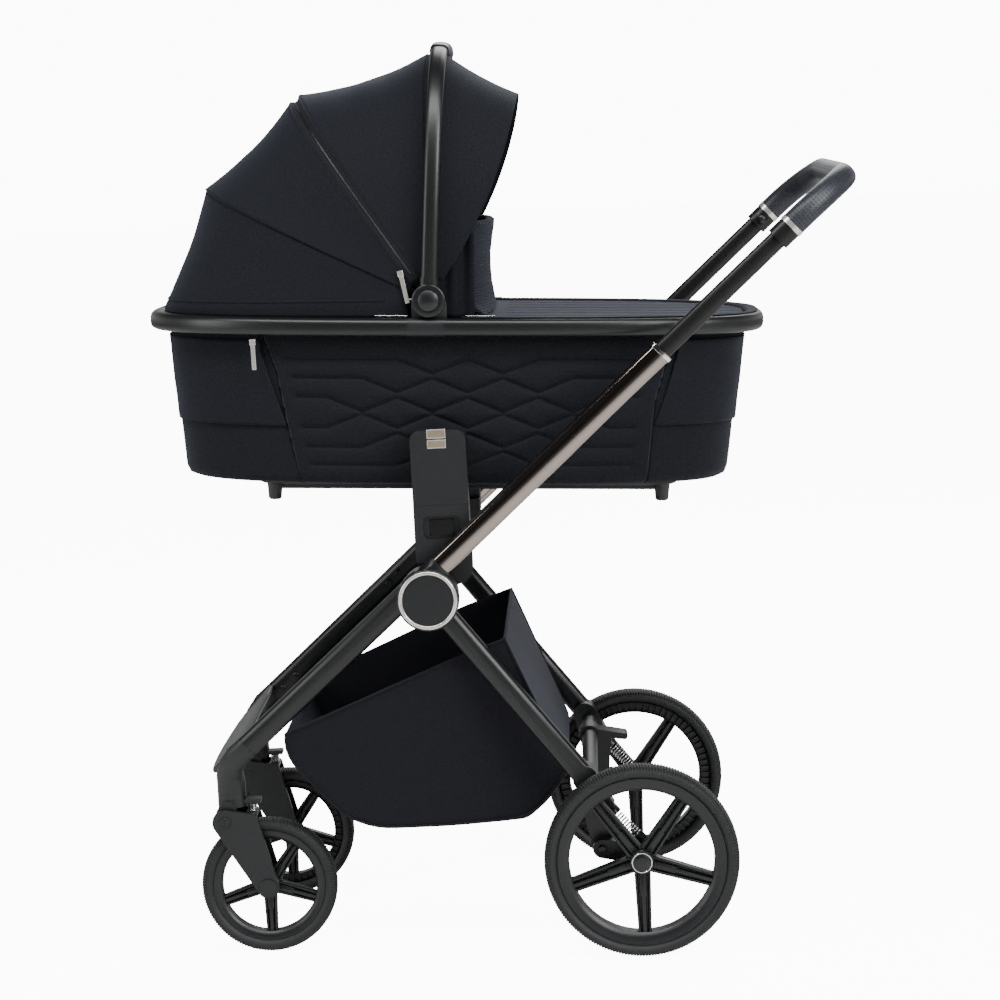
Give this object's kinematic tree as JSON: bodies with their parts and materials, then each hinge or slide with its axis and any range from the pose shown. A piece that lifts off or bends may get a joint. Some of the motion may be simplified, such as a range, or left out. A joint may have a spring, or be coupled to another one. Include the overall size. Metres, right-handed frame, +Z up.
{
  "type": "pram",
  "caption": "Pram with a folding sprung chassis, swivelling front castors, telescopic handle and a lift-off carrycot with fan-folding hood.",
  "frame": {"origin": "on the ground, under the middle of the pram's bounding box", "axes": "+Z up, +X towards the push handle, -X towards the front castors, -Y the side nearest the camera"},
  "size_m": [0.9939, 0.597, 1.2615],
  "materials": {
    "frame": "matte black anodised aluminium",
    "plastic": "matte black moulded nylon",
    "chrome": "polished silver",
    "dark_chrome": "polished dark gunmetal",
    "leather": "perforated grey-blue leather",
    "fabric": "matte near-black woven fabric",
    "lining": "grey lining",
    "wheel": "satin black moulded wheel",
    "tyre": "black foam-filled tyre",
    "steel": "bright spring steel"
  },
  "bodies": {
    "chassis": {"front_crosspiece": "frame", "basket": "fabric", "front_arm_left": "frame", "front_arm_right": "frame", "adapter_socket_left": "plastic", "adapter_socket_right": "plastic"},
    "handle": {"hub_cover_left": "plastic", "hub_cover_right": "plastic", "hub_ring_left": "chrome", "hub_ring_right": "chrome", "outer_tube_left": "dark_chrome", "outer_tube_right": "dark_chrome"},
    "handle_slider": {"handle_bar": "frame", "grip": "leather", "grip_ring_left": "chrome", "grip_ring_right": "chrome"},
    "rear_frame": {"rear_leg_left": "frame", "rear_leg_right": "frame", "rear_crossbar": "frame", "rear_spring_left": "steel", "rear_spring_right": "steel"},
    "brake": {"brake_pedal": "plastic"},
    "carrycot": {"carrycot_rim": "frame", "carrycot_shell": "fabric", "floor_board": "plastic", "mattress": "lining", "apron": "fabric", "apron_flap": "fabric", "hood_rear_panel": "fabric", "carrycot_post_left": "plastic", "carrycot_post_right": "plastic"},
    "hood_rear_bow": {"hood_bow_rear": "plastic", "hood_mid_panel": "fabric"},
    "hood_mid_bow": {"hood_bow_mid": "plastic", "hood_front_panel": "fabric"},
    "carry_handle": {"carry_handle": "frame", "carry_sleeve": "leather", "hood_visor": "fabric"},
    "release_button_left": {"release_button_left": "plastic"},
    "handle_button_left": {"handle_button_left": "plastic"},
    "pivot_button_left": {"pivot_button_left": "plastic"},
    "castor_left": {"castor_block_left": "plastic", "front_spring_left": "steel"},
    "front_fork_left": {"front_fork_left": "plastic"},
    "front_wheel_left": {"front_wheel_left": "wheel", "front_tyre_left": "tyre"},
    "rear_arm_left": {"rear_arm_left": "plastic"},
    "rear_wheel_left": {"rear_wheel_left": "wheel", "rear_tyre_left": "tyre"},
    "release_button_right": {"release_button_right": "plastic"},
    "handle_button_right": {"handle_button_right": "plastic"},
    "pivot_button_right": {"pivot_button_right": "plastic"},
    "castor_right": {"castor_block_right": "plastic", "front_spring_right": "steel"},
    "front_fork_right": {"front_fork_right": "plastic"},
    "front_wheel_right": {"front_wheel_right": "wheel", "front_tyre_right": "tyre"},
    "rear_arm_right": {"rear_arm_right": "plastic"},
    "rear_wheel_right": {"rear_wheel_right": "wheel", "rear_tyre_right": "tyre"}
  },
  "joints": [
    {"name": "handle_fold", "type": "hinge", "parent": "chassis", "child": "handle", "pos_m": [-0.112, 0, 0.506], "axis": [0, -1, 0], "range_deg": [0, 160]},
    {"name": "rear_fold", "type": "hinge", "parent": "chassis", "child": "rear_frame", "pos_m": [-0.112, 0, 0.506], "axis": [0, 1, 0], "range_deg": [0, 66], "deforming": ["basket"]},
    {"name": "handle_slide", "type": "slide", "parent": "handle", "child": "handle_slider", "axis": [0.749, 0, 0.6626], "range_m": [-0.14, 0.02]},
    {"name": "brake_press", "type": "hinge", "parent": "rear_frame", "child": "brake", "pos_m": [0.0968, 0.115, 0.2345], "axis": [0, 1, 0], "range_deg": [0, 18]},
    {"name": "carrycot_lift", "type": "slide", "parent": "chassis", "child": "carrycot", "axis": [0, 0, 1], "range_m": [0, 0.25]},
    {"name": "hood_rear_bow_fold", "type": "hinge", "parent": "carrycot", "child": "hood_rear_bow", "pos_m": [-0.0923, 0, 0.91], "axis": [0, -1, 0], "range_deg": [0, 18], "deforming": ["hood_rear_panel"]},
    {"name": "hood_mid_bow_fold", "type": "hinge", "parent": "hood_rear_bow", "child": "hood_mid_bow", "pos_m": [-0.0923, 0, 0.91], "axis": [0, -1, 0], "range_deg": [0, 24], "deforming": ["hood_mid_panel"]},
    {"name": "hood_fold", "type": "hinge", "parent": "hood_mid_bow", "child": "carry_handle", "pos_m": [-0.0923, 0, 0.91], "axis": [0, -1, 0], "range_deg": [0, 24], "deforming": ["hood_front_panel"]},
    {"name": "release_press_left", "type": "slide", "parent": "chassis", "child": "release_button_left", "axis": [0, 1, 0], "range_m": [0, 0.0035], "stiffness_N_per_m": 400, "springref_m": -0.005},
    {"name": "handle_button_press_left", "type": "slide", "parent": "handle_slider", "child": "handle_button_left", "axis": [0, -1, 0], "range_m": [0, 0.003], "stiffness_N_per_m": 400, "springref_m": -0.005},
    {"name": "pivot_button_press_left", "type": "slide", "parent": "carry_handle", "child": "pivot_button_left", "axis": [0, 1, 0], "range_m": [0, 0.0025], "stiffness_N_per_m": 400, "springref_m": -0.005},
    {"name": "castor_swivel_left", "type": "hinge", "parent": "chassis", "child": "castor_left", "pos_m": [-0.408, -0.1665, 0.2212], "axis": [0, 0, 1], "continuous": true},
    {"name": "front_suspension_left", "type": "hinge", "parent": "castor_left", "child": "front_fork_left", "pos_m": [-0.4173, -0.1665, 0.1913], "axis": [0, -1, 0], "range_deg": [0, 6], "stiffness_Nm_per_rad": 30, "springref_deg": -6.88, "deforming": ["front_spring_left"]},
    {"name": "front_wheel_spin_left", "type": "hinge", "parent": "front_fork_left", "child": "front_wheel_left", "pos_m": [-0.362, -0.1665, 0.0958], "axis": [0, 1, 0], "continuous": true},
    {"name": "rear_suspension_left", "type": "hinge", "parent": "rear_frame", "child": "rear_arm_left", "pos_m": [0.109, -0.234, 0.1435], "axis": [0, -1, 0], "range_deg": [0, 7], "stiffness_Nm_per_rad": 40, "springref_deg": -6.88, "deforming": ["rear_spring_left"]},
    {"name": "rear_wheel_spin_left", "type": "hinge", "parent": "rear_arm_left", "child": "rear_wheel_left", "pos_m": [0.1623, -0.2775, 0.134], "axis": [0, 1, 0], "continuous": true},
    {"name": "release_press_right", "type": "slide", "parent": "chassis", "child": "release_button_right", "axis": [0, -1, 0], "range_m": [0, 0.0035], "stiffness_N_per_m": 400, "springref_m": -0.005},
    {"name": "handle_button_press_right", "type": "slide", "parent": "handle_slider", "child": "handle_button_right", "axis": [0, 1, 0], "range_m": [0, 0.003], "stiffness_N_per_m": 400, "springref_m": -0.005},
    {"name": "pivot_button_press_right", "type": "slide", "parent": "carry_handle", "child": "pivot_button_right", "axis": [0, -1, 0], "range_m": [0, 0.0025], "stiffness_N_per_m": 400, "springref_m": -0.005},
    {"name": "castor_swivel_right", "type": "hinge", "parent": "chassis", "child": "castor_right", "pos_m": [-0.408, 0.1665, 0.2212], "axis": [0, 0, 1], "continuous": true},
    {"name": "front_suspension_right", "type": "hinge", "parent": "castor_right", "child": "front_fork_right", "pos_m": [-0.4173, 0.1665, 0.1913], "axis": [0, -1, 0], "range_deg": [0, 6], "stiffness_Nm_per_rad": 30, "springref_deg": -6.88, "deforming": ["front_spring_right"]},
    {"name": "front_wheel_spin_right", "type": "hinge", "parent": "front_fork_right", "child": "front_wheel_right", "pos_m": [-0.362, 0.1665, 0.0958], "axis": [0, 1, 0], "continuous": true},
    {"name": "rear_suspension_right", "type": "hinge", "parent": "rear_frame", "child": "rear_arm_right", "pos_m": [0.109, 0.234, 0.1435], "axis": [0, -1, 0], "range_deg": [0, 7], "stiffness_Nm_per_rad": 40, "springref_deg": -6.88, "deforming": ["rear_spring_right"]},
    {"name": "rear_wheel_spin_right", "type": "hinge", "parent": "rear_arm_right", "child": "rear_wheel_right", "pos_m": [0.1623, 0.2775, 0.134], "axis": [0, 1, 0], "continuous": true}
  ],
  "couplings": [
    {"joint": "rear_fold", "follows": "handle_fold", "ratio": 0.4125},
    {"joint": "hood_rear_bow_fold", "follows": "hood_fold", "ratio": 0.75},
    {"joint": "hood_mid_bow_fold", "follows": "hood_fold", "ratio": 1}
  ]
}
